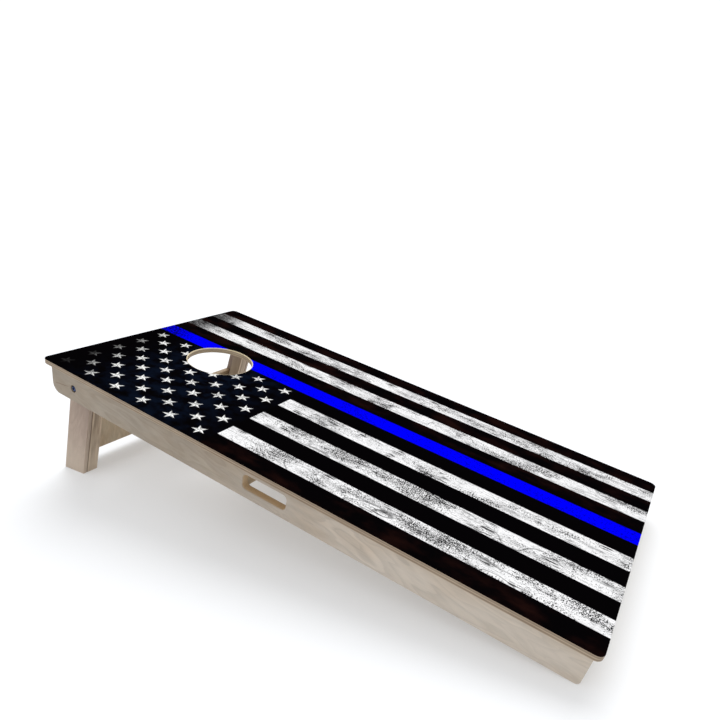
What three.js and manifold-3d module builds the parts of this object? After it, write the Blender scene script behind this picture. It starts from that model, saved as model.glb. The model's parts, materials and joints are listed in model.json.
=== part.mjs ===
// Folding cornhole board. Millimetres, +Z up, low front end at -Y, raised rear end with the bag hole at +Y.
// The board group holds deck and frame, tilted about X; the leg group hangs in it on two pivot bolts.
import * as THREE from "three";
import { mergeVertices } from "three/addons/utils/BufferGeometryUtils.js";
import Module from "manifold-3d";

const wasm = await Module();
wasm.setup();

// Deck
const DECK_WIDTH = 609.6;
const DECK_LENGTH = 1219.2;
const DECK_THICKNESS = 12; // print included
const DECK_CORNER = 13;
const DECK_EASE = 2.5;
const HOLE_DIAMETER = 152.4;
const HOLE_FROM_REAR = 228.6;
const PRINT_THICKNESS = 0.4;
const DECK_TILT = THREE.MathUtils.degToRad(10.35);

// Frame
const RAIL_THICKNESS = 18;
const FRAME_DEPTH = 78.5; // deck top to the bottom of the side rails
const RAIL_REAR_RADIUS = 22; // lower rear corner of a side rail
const RAIL_FRONT_RADIUS = 7.5; // lower front corner, which stands on the ground
const RAIL_EASE = 1.5;
const SIDE_OVERHANG = 12.6;
const REAR_OVERHANG = 10.5;
const FRONT_OVERHANG = 9.5;
const CROSS_RAIL_HEIGHT = 58;
const CENTRE_RAIL_FROM_REAR = 552.5; // to its front face, just behind the handle slots
const SLOT_LENGTH = 101;
const SLOT_HEIGHT = 31.5;
const SLOT_CORNER = 9;
const SLOT_DROP = 43.8; // deck top to the slot's centre line
const SLOT_FROM_REAR = 608.6;

// Legs
const PIVOT_FROM_REAR = 80;
const PIVOT_DROP = 48;
const LEG_RAKE = THREE.MathUtils.degToRad(10.7); // lean to the rear, measured from the deck's normal
const LEG_WIDTH = 64;
const LEG_BOARD = 10;
const BATTEN_WIDTH = 29;
const BATTEN_DEPTH = 30;
const BATTEN_START = 24; // below the pivot, clear of the washer and nut
const LEG_EASE = 1;
const BRACE_THICKNESS = 12;
const BRACE_HEIGHT = 104;
const BRACE_START = 125; // pivot to the brace's upper edge

// Pivot hardware, M8
const BOLT_DIAMETER = 8;
const BOLT_HEAD_DIAMETER = 14;
const BOLT_HEAD_HEIGHT = 4;
const BOLT_SOCKET = 5;
const BOLT_SOCKET_DEPTH = 2.4;
const COUNTERBORE_DIAMETER = 16.5;
const NUT_ACROSS_FLATS = 13;
const NUT_HEIGHT = 8;
const SPACER_DIAMETER = 24;
const SPACER_THICKNESS = 1;
const WASHER_DIAMETER = 20;
const WASHER_THICKNESS = 1.6;
const BOLT_PAST_NUT = 2;

// Pocket screws
const POCKET_ANGLE = THREE.MathUtils.degToRad(15);
const POCKET_DIAMETER = 9.6;
const SCREW_DIAMETER = 3.6;
const SCREW_HEAD_DIAMETER = 8.4;
const SCREW_HEAD_HEIGHT = 2.2;
const SCREW_SEAT = 14; // head seat to the joint line, along the screw
const SCREW_BITE = 9; // joint line to the tip, along the screw
const SCREW_RECESS = 2.6;

const GLUE_GAP = 0.3;
const RUN_GAP = 0.3; // between parts that turn on each other, and round every shank

const WOOD_LIGHT = { color: 0xb9ab97, roughness: 0.62, metalness: 0 };
const WOOD_WARM = { color: 0xbfa994, roughness: 0.62, metalness: 0 };
const WOOD_INNER = { color: 0xa8977c, roughness: 0.68, metalness: 0 };
const PRINT = { color: 0x0b0b0e, roughness: 0.34, metalness: 0 };
const ZINC = { color: 0x6f7a8c, roughness: 0.34, metalness: 0.95 };
const STEEL = { color: 0xa9adb3, roughness: 0.38, metalness: 0.95 };
const NYLON = { color: 0xe4e2da, roughness: 0.45, metalness: 0 };
const SCREW_ZINC = { color: 0xb89f5e, roughness: 0.35, metalness: 0.9 };

// Deck coordinates: x across, y from the board's middle to the rear, z up from the deck's top face.
const fromRear = (distance) => DECK_LENGTH / 2 - distance;
const RAIL_TOP = -DECK_THICKNESS - GLUE_GAP;
const SIDE_OUTER = DECK_WIDTH / 2 - SIDE_OVERHANG;
const SIDE_INNER = SIDE_OUTER - RAIL_THICKNESS;
const LEG_OUTER = SIDE_INNER - SPACER_THICKNESS - 2 * RUN_GAP;
const LEG_INNER = LEG_OUTER - LEG_BOARD;
const SIDES = { left: -1, right: 1 };

const board = new THREE.Group();
const legs = new THREE.Group();

function place(parent, name, geometry, finish) {
  const mesh = new THREE.Mesh(geometry, new THREE.MeshStandardMaterial(finish));
  mesh.name = name;
  parent.add(mesh);
  return mesh;
}

function toSolid(geometry, matrix = new THREE.Matrix4()) {
  const bare = geometry.clone().applyMatrix4(matrix);
  bare.deleteAttribute("normal");
  bare.deleteAttribute("uv");
  const merged = mergeVertices(bare, 1e-4);
  const vertProperties = merged.attributes.position.array;
  const triVerts = new Uint32Array(merged.index.array);
  return new wasm.Manifold(new wasm.Mesh({ numProp: 3, vertProperties, triVerts }));
}

function toGeometry(solid) {
  const { vertProperties, triVerts } = solid.getMesh();
  const geometry = new THREE.BufferGeometry();
  geometry.setAttribute("position", new THREE.BufferAttribute(vertProperties, 3));
  geometry.setIndex(new THREE.BufferAttribute(triVerts, 1));
  const faceted = geometry.toNonIndexed();
  faceted.computeVertexNormals();
  return faceted;
}

function cutAll(geometry, cutters) {
  return toGeometry(cutters.reduce((solid, cutter) => solid.subtract(cutter), toSolid(geometry)));
}

// Extrudes a shape by depth along +Z, its outer edges and hole edges eased on both faces.
function easedSlab(shape, depth, ease, curveSegments = 12, bevelSegments = 2) {
  return new THREE.ExtrudeGeometry(shape, {
    depth: depth - 2 * ease,
    bevelThickness: ease,
    bevelSize: ease,
    bevelOffset: -ease,
    bevelSegments,
    curveSegments,
  }).translate(0, 0, ease);
}

// Turns a profile drawn as (y, z) and extruded along +Z into one standing in the YZ plane from x.
function standInYZ(geometry, x) {
  const turn = new THREE.Matrix4().makeBasis(
    new THREE.Vector3(0, 1, 0),
    new THREE.Vector3(0, 0, 1),
    new THREE.Vector3(1, 0, 0),
  );
  return geometry.applyMatrix4(turn).translate(x, 0, 0);
}

// Turns a cylinder-like geometry about Y into one about X, its base at x and growing along direction.
function alongX(geometry, height, x, direction, y, z) {
  return geometry
    .translate(0, height / 2, 0)
    .rotateZ((-direction * Math.PI) / 2)
    .translate(x, y, z);
}

function roundedRectangle(width, length, radius) {
  const w = width / 2;
  const l = length / 2;
  const shape = new THREE.Shape();
  shape.moveTo(-w + radius, -l);
  shape.lineTo(w - radius, -l);
  shape.absarc(w - radius, -l + radius, radius, -Math.PI / 2, 0);
  shape.lineTo(w, l - radius);
  shape.absarc(w - radius, l - radius, radius, 0, Math.PI / 2);
  shape.lineTo(-w + radius, l);
  shape.absarc(-w + radius, l - radius, radius, Math.PI / 2, Math.PI);
  shape.lineTo(-w, -l + radius);
  shape.absarc(-w + radius, -l + radius, radius, Math.PI, 1.5 * Math.PI);
  return shape;
}

// Every pocket screw has a frame whose +Z runs to the tip and whose origin is on the joint line.
const pockets = [];

function addPocket(name, member, receiver, origin, axis) {
  const matrix = new THREE.Matrix4().compose(
    origin,
    new THREE.Quaternion().setFromUnitVectors(new THREE.Vector3(0, 0, 1), axis.clone().normalize()),
    new THREE.Vector3(1, 1, 1),
  );
  pockets.push({ name, member, receiver, matrix });
}

function pocketCutters(node) {
  const pilotRadius = SCREW_DIAMETER / 2 + RUN_GAP;
  const pilotLength = SCREW_SEAT + SCREW_BITE + 2 * RUN_GAP;
  return pockets
    .filter(({ member, receiver }) => member === node || receiver === node)
    .flatMap(({ member, matrix }) => {
      const pilot = new THREE.CylinderGeometry(pilotRadius, pilotRadius, pilotLength, 12)
        .rotateX(Math.PI / 2)
        .translate(0, 0, SCREW_BITE + RUN_GAP - pilotLength / 2);
      if (member !== node) return [toSolid(pilot, matrix)];
      const mouth = 60;
      const pocket = new THREE.CylinderGeometry(POCKET_DIAMETER / 2, POCKET_DIAMETER / 2, mouth, 20)
        .rotateX(Math.PI / 2)
        .translate(0, 0, -SCREW_SEAT - mouth / 2);
      return [toSolid(pilot, matrix), toSolid(pocket, matrix)];
    });
}

function screwGeometry() {
  const head = SCREW_HEAD_DIAMETER / 2;
  const shank = SCREW_DIAMETER / 2;
  const seat = -SCREW_SEAT - RUN_GAP;
  const drive = 1.3;
  const profile = [
    [0, seat - SCREW_HEAD_HEIGHT + 1.4],
    [drive, seat - SCREW_HEAD_HEIGHT + 1.2],
    [drive, seat - SCREW_HEAD_HEIGHT],
    [head - 1, seat - SCREW_HEAD_HEIGHT + 0.2],
    [head, seat - 0.8],
    [head, seat],
    [shank, seat],
    [shank, SCREW_BITE - 4],
    [0, SCREW_BITE],
  ].map(([r, y]) => new THREE.Vector2(r, y));
  return new THREE.LatheGeometry(profile, 14).rotateX(Math.PI / 2);
}

// Deck and printed sheet
const deckShape = roundedRectangle(DECK_WIDTH, DECK_LENGTH, DECK_CORNER);
const bagHole = new THREE.Path();
bagHole.absarc(0, fromRear(HOLE_FROM_REAR), HOLE_DIAMETER / 2, 0, 2 * Math.PI, true);
deckShape.holes.push(bagHole);
const deckBody = DECK_THICKNESS - PRINT_THICKNESS - GLUE_GAP;
const deckBlank = easedSlab(deckShape, deckBody, DECK_EASE, 24, 3).translate(0, 0, -DECK_THICKNESS);

const printShape = roundedRectangle(
  DECK_WIDTH - 2 * DECK_EASE,
  DECK_LENGTH - 2 * DECK_EASE,
  DECK_CORNER - DECK_EASE,
);
const printHole = new THREE.Path();
printHole.absarc(0, fromRear(HOLE_FROM_REAR), HOLE_DIAMETER / 2 + DECK_EASE, 0, 2 * Math.PI, true);
printShape.holes.push(printHole);
const printSheet = new THREE.ExtrudeGeometry(printShape, {
  depth: PRINT_THICKNESS,
  bevelEnabled: false,
  curveSegments: 24,
}).translate(0, 0, -PRINT_THICKNESS);

// Side rails: a long profile in the YZ plane with rounded lower corners and a hand slot
const railRear = fromRear(REAR_OVERHANG);
const railFront = fromRear(DECK_LENGTH - FRONT_OVERHANG);

function sideRailProfile() {
  const front = RAIL_FRONT_RADIUS;
  const rear = RAIL_REAR_RADIUS;
  const shape = new THREE.Shape();
  shape.moveTo(railFront, RAIL_TOP);
  shape.lineTo(railFront, -FRAME_DEPTH + front);
  shape.absarc(railFront + front, -FRAME_DEPTH + front, front, Math.PI, 1.5 * Math.PI);
  shape.lineTo(railRear - rear, -FRAME_DEPTH);
  shape.absarc(railRear - rear, -FRAME_DEPTH + rear, rear, -Math.PI / 2, 0);
  shape.lineTo(railRear, RAIL_TOP);
  shape.closePath();
  const slot = roundedRectangle(SLOT_LENGTH, SLOT_HEIGHT, SLOT_CORNER).getPoints(8);
  const centre = new THREE.Vector2(fromRear(SLOT_FROM_REAR), -SLOT_DROP);
  shape.holes.push(new THREE.Path(slot.map((p) => p.add(centre)).reverse()));
  return shape;
}

// Pocket positions: two at each end of a cross rail, and more up into the deck.
const crossRails = {
  front_rail: { y: railFront + RAIL_THICKNESS / 2, face: 1 },
  centre_rail: { y: fromRear(CENTRE_RAIL_FROM_REAR - RAIL_THICKNESS / 2), face: -1 },
  rear_rail: { y: railRear - RAIL_THICKNESS / 2, face: -1 },
};
const END_SCREW_DROPS = [18, 42];
const DECK_SCREW_X = 150;
const SIDE_DECK_SCREWS = { mid: 430, front: 860 };

for (const [rail, { y, face }] of Object.entries(crossRails)) {
  const slant = -face * Math.sin(POCKET_ANGLE);
  for (const [side, s] of Object.entries(SIDES)) {
    END_SCREW_DROPS.forEach((drop, i) => {
      const origin = new THREE.Vector3(s * SIDE_INNER, y, RAIL_TOP - drop);
      const axis = new THREE.Vector3(s * Math.cos(POCKET_ANGLE), slant, 0);
      addPocket(`screw_${rail}_${side}_${i + 1}`, rail, `side_rail_${side}`, origin, axis);
    });
    const origin = new THREE.Vector3(s * DECK_SCREW_X, y, RAIL_TOP);
    const axis = new THREE.Vector3(0, slant, Math.cos(POCKET_ANGLE));
    addPocket(`screw_deck_${rail}_${side}`, rail, "deck", origin, axis);
  }
}
for (const [side, s] of Object.entries(SIDES)) {
  for (const [spot, distance] of Object.entries(SIDE_DECK_SCREWS)) {
    const origin = new THREE.Vector3(s * (SIDE_INNER + RAIL_THICKNESS / 2), fromRear(distance), RAIL_TOP);
    const axis = new THREE.Vector3(s * Math.sin(POCKET_ANGLE), 0, Math.cos(POCKET_ANGLE));
    addPocket(`screw_deck_side_${side}_${spot}`, `side_rail_${side}`, "deck", origin, axis);
  }
}

place(board, "deck", cutAll(deckBlank, pocketCutters("deck")), WOOD_LIGHT);
place(board, "deck_print", printSheet, PRINT);

const pivotY = fromRear(PIVOT_FROM_REAR);
const shankHole = BOLT_DIAMETER / 2 + RUN_GAP;

for (const [side, s] of Object.entries(SIDES)) {
  const name = `side_rail_${side}`;
  const x = s > 0 ? SIDE_INNER : -SIDE_OUTER;
  const blank = standInYZ(easedSlab(sideRailProfile(), RAIL_THICKNESS, RAIL_EASE), x);
  const bore = alongX(
    new THREE.CylinderGeometry(shankHole, shankHole, RAIL_THICKNESS + 2, 24),
    RAIL_THICKNESS + 2,
    s * (SIDE_INNER - 1),
    s,
    pivotY,
    -PIVOT_DROP,
  );
  const depth = BOLT_HEAD_HEIGHT + RUN_GAP + 0.5;
  const counterbore = alongX(
    new THREE.CylinderGeometry(COUNTERBORE_DIAMETER / 2, COUNTERBORE_DIAMETER / 2, depth + 1, 32),
    depth + 1,
    s * (SIDE_OUTER - depth),
    s,
    pivotY,
    -PIVOT_DROP,
  );
  const cutters = [toSolid(bore), toSolid(counterbore), ...pocketCutters(name)];
  place(board, name, cutAll(blank, cutters), WOOD_LIGHT);
}

for (const [name, { y }] of Object.entries(crossRails)) {
  const length = 2 * (SIDE_INNER - GLUE_GAP);
  const section = new THREE.Shape();
  section.moveTo(y - RAIL_THICKNESS / 2, RAIL_TOP - CROSS_RAIL_HEIGHT);
  section.lineTo(y + RAIL_THICKNESS / 2, RAIL_TOP - CROSS_RAIL_HEIGHT);
  section.lineTo(y + RAIL_THICKNESS / 2, RAIL_TOP);
  section.lineTo(y - RAIL_THICKNESS / 2, RAIL_TOP);
  const blank = standInYZ(easedSlab(section, length, 0.6, 4, 1), -length / 2);
  place(board, name, cutAll(blank, pocketCutters(name)), WOOD_INNER);
}

// Pivot hardware, built from the outer face of each side rail inwards
for (const [side, s] of Object.entries(SIDES)) {
  const hardware = new THREE.Group();
  hardware.position.set(0, pivotY, -PIVOT_DROP);
  board.add(hardware);
  const ring = (outer, inner, thickness, segments) => {
    const profile = [
      [inner, 0],
      [outer - 0.2, 0],
      [outer, 0.2],
      [outer, thickness - 0.2],
      [outer - 0.2, thickness],
      [inner, thickness],
      [inner, 0],
    ].map(([r, h]) => new THREE.Vector2(r, h));
    return new THREE.LatheGeometry(profile, segments).translate(0, -thickness / 2, 0);
  };
  const seat = SIDE_OUTER - BOLT_HEAD_HEIGHT - 0.5;
  const washerFrom = LEG_INNER - RUN_GAP;
  const nutFrom = washerFrom - WASHER_THICKNESS - RUN_GAP;
  const tip = nutFrom - NUT_HEIGHT - BOLT_PAST_NUT;
  const shank = BOLT_DIAMETER / 2;
  const head = BOLT_HEAD_DIAMETER / 2;
  const boltLength = seat + BOLT_HEAD_HEIGHT - tip;
  const boltProfile = [
    [0, 0],
    [shank - 0.8, 0],
    [shank, 0.8],
    [shank, boltLength - BOLT_HEAD_HEIGHT],
    [head, boltLength - BOLT_HEAD_HEIGHT],
    [head, boltLength - 2.4],
    [head - 1.6, boltLength - 0.5],
    [BOLT_SOCKET, boltLength],
    [0, boltLength],
  ].map(([r, h]) => new THREE.Vector2(r, h));
  const socketRadius = BOLT_SOCKET / Math.sqrt(3);
  const socket = new THREE.CylinderGeometry(socketRadius, socketRadius, BOLT_SOCKET_DEPTH + 1, 6)
    .translate(0, boltLength - BOLT_SOCKET_DEPTH / 2 + 0.5, 0);
  const bolt = cutAll(new THREE.LatheGeometry(boltProfile, 24), [toSolid(socket)])
    .translate(0, -boltLength / 2, 0);
  place(hardware, `pivot_bolt_${side}`, alongX(bolt, boltLength, s * tip, s, 0, 0), ZINC);

  const spacer = ring(SPACER_DIAMETER / 2, shankHole, SPACER_THICKNESS, 32);
  const spacerFrom = s * (SIDE_INNER - RUN_GAP);
  place(hardware, `pivot_spacer_${side}`, alongX(spacer, SPACER_THICKNESS, spacerFrom, -s, 0, 0), NYLON);

  const washer = ring(WASHER_DIAMETER / 2, shankHole, WASHER_THICKNESS, 28);
  place(hardware, `pivot_washer_${side}`, alongX(washer, WASHER_THICKNESS, s * washerFrom, -s, 0, 0), STEEL);

  const nutRadius = NUT_ACROSS_FLATS / Math.sqrt(3);
  const nutBlank = new THREE.CylinderGeometry(nutRadius, nutRadius, NUT_HEIGHT, 6);
  const cone = new THREE.CylinderGeometry(shank + 1.4, nutRadius + 0.5, NUT_HEIGHT * 0.4, 28)
    .translate(0, NUT_HEIGHT * 0.3, 0);
  const body = new THREE.CylinderGeometry(nutRadius + 1, nutRadius + 1, NUT_HEIGHT * 0.6, 28)
    .translate(0, -NUT_HEIGHT * 0.2, 0);
  const nutBore = new THREE.CylinderGeometry(shankHole, shankHole, NUT_HEIGHT + 2, 24);
  const envelope = toSolid(body).add(toSolid(cone.translate(0, -0.01, 0)));
  const nut = toGeometry(toSolid(nutBlank).intersect(envelope).subtract(toSolid(nutBore)));
  place(hardware, `pivot_nut_${side}`, alongX(nut, NUT_HEIGHT, s * nutFrom, -s, 0, 0), STEEL);
}

// Ground line: touches the rounded front corners of the side rails and carries the leg feet
const cornerY = railFront + RAIL_FRONT_RADIUS;
const cornerZ = -FRAME_DEPTH + RAIL_FRONT_RADIUS;
const heightOf = (y, z) => y * Math.sin(DECK_TILT) + z * Math.cos(DECK_TILT);
const groundLevel = heightOf(cornerY, cornerZ) - RAIL_FRONT_RADIUS;
const pivotHeight = heightOf(pivotY, -PIVOT_DROP) - groundLevel;

// Leg coordinates: origin on the pivot line, z up the leg, y to the rear
const footAngle = DECK_TILT + LEG_RAKE;
const footAt = (y) => -(pivotHeight + y * Math.sin(footAngle)) / Math.cos(footAngle);
const half = LEG_WIDTH / 2;
const stopRoom = PIVOT_DROP - DECK_THICKNESS - RUN_GAP;
const legTop = (stopRoom - half * Math.sin(LEG_RAKE)) / Math.cos(LEG_RAKE);

// The square rear corner of the head meets the deck's underside when the leg is open.
function legBoardProfile() {
  const shape = new THREE.Shape();
  shape.moveTo(half, legTop);
  shape.lineTo(Math.sqrt(half ** 2 - legTop ** 2), legTop);
  shape.absarc(0, 0, half, Math.asin(legTop / half), Math.PI);
  shape.lineTo(-half, footAt(-half));
  shape.lineTo(half, footAt(half));
  shape.closePath();
  return shape;
}

function battenProfile() {
  const rear = -half + BATTEN_DEPTH;
  const shape = new THREE.Shape();
  shape.moveTo(-half, -BATTEN_START);
  shape.lineTo(-half, footAt(-half));
  shape.lineTo(rear, footAt(rear));
  shape.lineTo(rear, -BATTEN_START);
  shape.closePath();
  return shape;
}

const BRACE_SCREW_DROPS = [26, 78];
for (const [side, s] of Object.entries(SIDES)) {
  BRACE_SCREW_DROPS.forEach((drop, i) => {
    const origin = new THREE.Vector3(s * LEG_INNER, half - BRACE_THICKNESS / 2, -BRACE_START - drop);
    const axis = new THREE.Vector3(s * Math.cos(POCKET_ANGLE), -Math.sin(POCKET_ANGLE), 0);
    addPocket(`screw_brace_${side}_${i + 1}`, "leg_brace", `leg_board_${side}`, origin, axis);
  });
}

legs.position.set(0, pivotY, -PIVOT_DROP);
legs.rotation.x = LEG_RAKE;
board.add(legs);

for (const [side, s] of Object.entries(SIDES)) {
  const name = `leg_board_${side}`;
  const x = s > 0 ? LEG_INNER : -LEG_OUTER;
  const blank = standInYZ(easedSlab(legBoardProfile(), LEG_BOARD, LEG_EASE, 16), x);
  const bore = alongX(
    new THREE.CylinderGeometry(shankHole, shankHole, LEG_BOARD + 2, 24),
    LEG_BOARD + 2,
    s * (LEG_INNER - 1),
    s,
    0,
    0,
  );
  place(legs, name, cutAll(blank, [toSolid(bore), ...pocketCutters(name)]), WOOD_WARM);

  const battenInner = LEG_INNER - GLUE_GAP - BATTEN_WIDTH;
  const battenX = s > 0 ? battenInner : -battenInner - BATTEN_WIDTH;
  const batten = standInYZ(easedSlab(battenProfile(), BATTEN_WIDTH, LEG_EASE), battenX);
  place(legs, `leg_batten_${side}`, batten, WOOD_WARM);
}

const braceLength = 2 * (LEG_INNER - GLUE_GAP);
const braceSection = new THREE.Shape();
braceSection.moveTo(half - BRACE_THICKNESS, -BRACE_START - BRACE_HEIGHT);
braceSection.lineTo(half, -BRACE_START - BRACE_HEIGHT);
braceSection.lineTo(half, -BRACE_START);
braceSection.lineTo(half - BRACE_THICKNESS, -BRACE_START);
const braceBlank = standInYZ(easedSlab(braceSection, braceLength, 0.6, 4, 1), -braceLength / 2);
place(legs, "leg_brace", cutAll(braceBlank, pocketCutters("leg_brace")), WOOD_INNER);

for (const { name, member, matrix } of pockets) {
  const screw = place(member === "leg_brace" ? legs : board, name, screwGeometry(), SCREW_ZINC);
  screw.applyMatrix4(matrix);
}

// Tilt the board and stand it with its footprint centred on the origin
const group = new THREE.Group();
group.add(board);
board.rotation.x = DECK_TILT;
board.updateMatrixWorld(true);
const box = new THREE.Box3().setFromObject(board, true);
board.position.set(0, -(box.min.y + box.max.y) / 2, -groundLevel);

export default group;
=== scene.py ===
import json
import math

import bmesh
import bpy
from mathutils import Matrix, Vector
from mathutils.geometry import tessellate_polygon


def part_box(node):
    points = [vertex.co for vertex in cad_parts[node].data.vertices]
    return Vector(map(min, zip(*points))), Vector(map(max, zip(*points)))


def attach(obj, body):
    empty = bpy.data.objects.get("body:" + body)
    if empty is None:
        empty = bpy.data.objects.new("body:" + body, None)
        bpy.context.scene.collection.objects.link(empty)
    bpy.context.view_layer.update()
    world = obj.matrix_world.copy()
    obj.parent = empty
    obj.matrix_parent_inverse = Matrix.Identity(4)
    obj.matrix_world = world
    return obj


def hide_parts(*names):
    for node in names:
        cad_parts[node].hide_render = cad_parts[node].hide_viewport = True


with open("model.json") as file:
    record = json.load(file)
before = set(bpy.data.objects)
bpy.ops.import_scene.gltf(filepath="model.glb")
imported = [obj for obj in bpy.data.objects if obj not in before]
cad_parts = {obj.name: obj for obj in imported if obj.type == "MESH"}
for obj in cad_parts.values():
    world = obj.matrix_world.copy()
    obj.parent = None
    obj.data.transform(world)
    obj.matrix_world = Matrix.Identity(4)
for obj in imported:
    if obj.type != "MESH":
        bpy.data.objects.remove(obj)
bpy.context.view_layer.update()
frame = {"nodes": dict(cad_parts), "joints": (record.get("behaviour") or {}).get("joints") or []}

MM = 0.001

# Sizes that the frame's boxes don't give, in metres like all lengths below unless a name or note says mm
LEG_RAKE = math.radians(10.7)
DECK_CORNER = 13 * MM
HOLE_RADIUS = 76.2 * MM
HOLE_FROM_REAR = 228.6 * MM
PRINT_CLEAR_OF_HOLE = 2.1 * MM
PRINT_SHELL = 0.15 * MM
RAIL_REAR_RADIUS = 22 * MM
RAIL_FRONT_RADIUS = 7.5 * MM
SLOT_LENGTH = 101 * MM
SLOT_HEIGHT = 31.5 * MM
SLOT_CORNER = 9 * MM
SLOT_DROP = 43.8 * MM
SLOT_FROM_REAR = 608.6 * MM
PIVOT_FROM_REAR = 80 * MM
PIVOT_DROP = 48 * MM
COUNTERBORE_RADIUS = 8.25 * MM
COUNTERBORE_DEPTH = 4.8 * MM
BOLT_RADIUS = 4 * MM
POCKET_RADIUS = 4.8 * MM
POCKET_LENGTH = 60 * MM
POCKET_SEAT = 2.4 * MM  # how deep a pocket takes in the screw's head
RUN_GAP = 0.3 * MM  # round every shank
CUT_PAST = 1 * MM  # how far a cutter runs past the face it cuts

# Edge rounds, top or outer face first
DECK_EASE = (0.8 * MM, 2.0 * MM)
HOLE_EASE = (2.0 * MM, 1.2 * MM)
RAIL_EASE = (1.6 * MM, 1.2 * MM)
SLOT_EASE = (2.4 * MM, 2.4 * MM)
CROSS_RAIL_EASE = (1.0 * MM, 1.0 * MM)
LEG_BOARD_EASE = (1.4 * MM, 1.4 * MM)
BATTEN_EASE = (2.0 * MM, 2.0 * MM)
BRACE_EASE = (1.2 * MM, 1.2 * MM)
SPACER_EASE = 0.2 * MM
WASHER_EASE = 0.3 * MM

# How far a material's height, 0 to 1, stands out
WOOD_RELIEF = 0.16 * MM
PRINT_RELIEF = 0.05 * MM
METAL_RELIEF = 0.04 * MM
NYLON_RELIEF = 0.03 * MM
FLOOR_RELIEF = 0.01 * MM

SIDES = {"left": -1, "right": 1}  # the side with the stars is the left one, at -X
ARC_STEPS = 10
EASE_STEPS = 4
HOLE_STEPS = 144
TURNED_STEPS = 64
SCREW_STEPS = 32
BORE_STEPS = 32
SMOOTH_BELOW = math.radians(34)


# ---------------------------------------------------------------- frames

def board_frame():
    """x across, y up the slope to the rear, z out of the playing face, origin at the middle of that face."""
    sheet = frame["nodes"]["deck_print"].data
    up = max((p for p in sheet.polygons if p.normal.z > 0), key=lambda p: p.area).normal.copy()
    across = Vector((1, 0, 0))
    low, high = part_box("deck_print")
    middle = (low + high) / 2
    top = max(v.co.dot(up) for v in sheet.vertices)
    matrix = Matrix((across, up.cross(across), up)).transposed().to_4x4()
    matrix.translation = middle + up * (top - middle.dot(up))
    return matrix


def leg_frame():
    """Origin on the pivot line, z up the leg, y to the rear."""
    pivot = Vector(frame["joints"][0]["pos_m"])
    return Matrix.Translation(pivot) @ BOARD.to_3x3().to_4x4() @ Matrix.Rotation(LEG_RAKE, 4, "X")


def extent(node, place):
    """Lowest and highest corner of a CAD node in a local frame."""
    inverse = place.inverted()
    points = [inverse @ v.co for v in frame["nodes"][node].data.vertices]
    return Vector(map(min, *points)), Vector(map(max, *points))


def standing(place, origin, grain, outward):
    """A piece's own frame: x with its face grain, z out of its show face, which holds the origin."""
    x, z = Vector(grain), Vector(outward)
    turn = Matrix((x, z.cross(x), z)).transposed().to_4x4()
    return place @ Matrix.Translation(origin) @ turn


BOARD = board_frame()
LEGS = leg_frame()
DECK_LOW, DECK_HIGH = extent("deck", BOARD)
REAR = DECK_HIGH.y
DECK_THICKNESS = -DECK_LOW.z


# ---------------------------------------------------------------- outlines

def rounded(corners):
    """A closed outline through (point, radius) corners, each rounded by an arc."""
    points = []
    for i, (corner, radius) in enumerate(corners):
        if radius == 0:
            points.append(Vector(corner))
            continue
        here = Vector(corner)
        back = (Vector(corners[i - 1][0]) - here).normalized()
        ahead = (Vector(corners[(i + 1) % len(corners)][0]) - here).normalized()
        half = back.angle(ahead) / 2
        centre = here + (back + ahead).normalized() * radius / math.sin(half)
        start = here + back * radius / math.tan(half) - centre
        end = here + ahead * radius / math.tan(half) - centre
        sweep = start.angle_signed(end)
        for k in range(ARC_STEPS + 1):
            turn = Matrix.Rotation(-sweep * k / ARC_STEPS, 2)
            points.append(centre + turn @ start)
    return points


def rectangle(low, high, radius=0):
    corners = [(low[0], low[1]), (high[0], low[1]), (high[0], high[1]), (low[0], high[1])]
    return rounded([(c, radius) for c in corners])


def circle(centre, radius):
    turns = (2 * math.pi * k / HOLE_STEPS for k in range(HOLE_STEPS))
    return [Vector((centre[0] + radius * math.cos(a), centre[1] + radius * math.sin(a))) for a in turns]


def wound(loop, anticlockwise):
    area = sum(a.x * b.y - b.x * a.y for a, b in zip(loop, loop[1:] + loop[:1]))
    return loop if (area > 0) == anticlockwise else loop[::-1]


def miters(loop):
    """For each point of a loop with the material on its left, the outward step that offsets it by one."""
    steps = []
    for i, point in enumerate(loop):
        before = (point - loop[i - 1]).normalized()
        after = (loop[(i + 1) % len(loop)] - point).normalized()
        a, b = Vector((before.y, -before.x)), Vector((after.y, -after.x))
        steps.append((a + b) / (1 + a.dot(b)))
    return steps


QUARTER = [math.pi / 2 * k / EASE_STEPS for k in range(EASE_STEPS + 1)]


def top_round(radius):
    """(inset, height) down a quarter round at a slab's upper face, which is at height 0."""
    return [(radius * (1 - math.sin(a)), -radius * (1 - math.cos(a))) for a in QUARTER]


def bottom_round(depth, radius):
    return [(radius * (1 - math.cos(a)), -depth + radius * (1 - math.sin(a))) for a in QUARTER]


def eased(depth, rounds):
    """(inset, height) down a slab's whole edge, with a quarter round at each face."""
    top, bottom = rounds
    return top_round(top) + bottom_round(depth, bottom)


# ---------------------------------------------------------------- meshes

def swept(bm, loop, profile):
    """Carries a loop through (inset, height) pairs. Returns its first and last rings of vertices."""
    steps = miters(loop)
    rings = [
        [bm.verts.new(((p - m * inset).x, (p - m * inset).y, height)) for p, m in zip(loop, steps)]
        for inset, height in profile
    ]
    for upper, lower in zip(rings, rings[1:]):
        for i in range(len(loop)):
            bm.faces.new((upper[i - 1], upper[i], lower[i], lower[i - 1]))
    return rings[0], rings[-1]


def capped(bm, rings):
    """Closes a flat face between an outer ring of vertices and its holes."""
    for triangle in tessellate_polygon([[v.co for v in ring] for ring in rings]):
        flat = [v for ring in rings for v in ring]
        bm.faces.new([flat[i] for i in triangle])


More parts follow.
